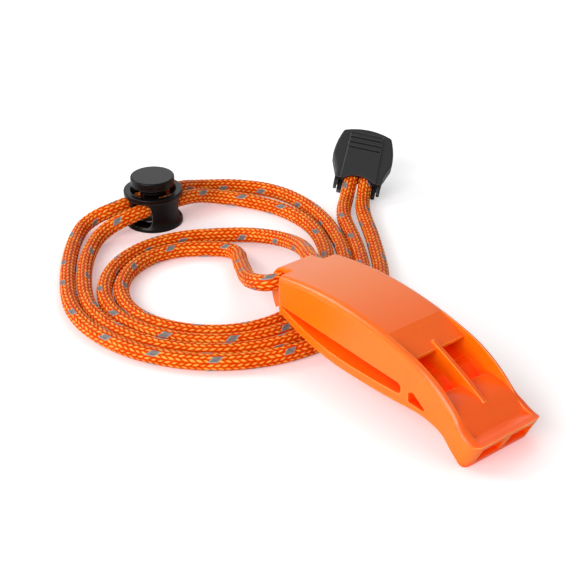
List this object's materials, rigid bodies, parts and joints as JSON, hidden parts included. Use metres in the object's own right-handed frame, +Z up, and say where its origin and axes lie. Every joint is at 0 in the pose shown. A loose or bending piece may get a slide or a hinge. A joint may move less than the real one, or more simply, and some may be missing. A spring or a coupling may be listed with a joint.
{
  "type": "survival whistle",
  "caption": "Flat twin-chamber whistle on a doubled braided neck cord, with a sprung push-button cord lock and a two-shell clip over the cord ends.",
  "frame": {"origin": "on the table, under the middle of the whistle", "axes": "+X along the whistle from its lug to its mouthpiece, +Y across it, +Z up"},
  "size_m": [0.155, 0.1233, 0.022],
  "materials": {
    "whistle_plastic": "satin moulded orange",
    "braided_cord": "shiny orange braid with grey reflective flecks",
    "lock_plastic": "satin black",
    "spring_steel": "drawn wire",
    "clip_plastic": "matte charcoal"
  },
  "bodies": {
    "whistle_and_cord": {"whistle_body": "whistle_plastic", "lanyard_cord": "braided_cord", "lock_barrel": "lock_plastic", "lock_spring": "spring_steel", "clip_front_shell": "clip_plastic", "clip_back_shell": "clip_plastic"},
    "lock_button": {"lock_plunger": "lock_plastic"}
  },
  "joints": [
    {"name": "button_press", "type": "slide", "parent": "whistle_and_cord", "child": "lock_button", "axis": [0, 0, -1], "range_m": [0, 0.00165], "stiffness_N_per_m": 1500, "springref_m": -0.0015, "deforming": ["lock_spring"]}
  ]
}
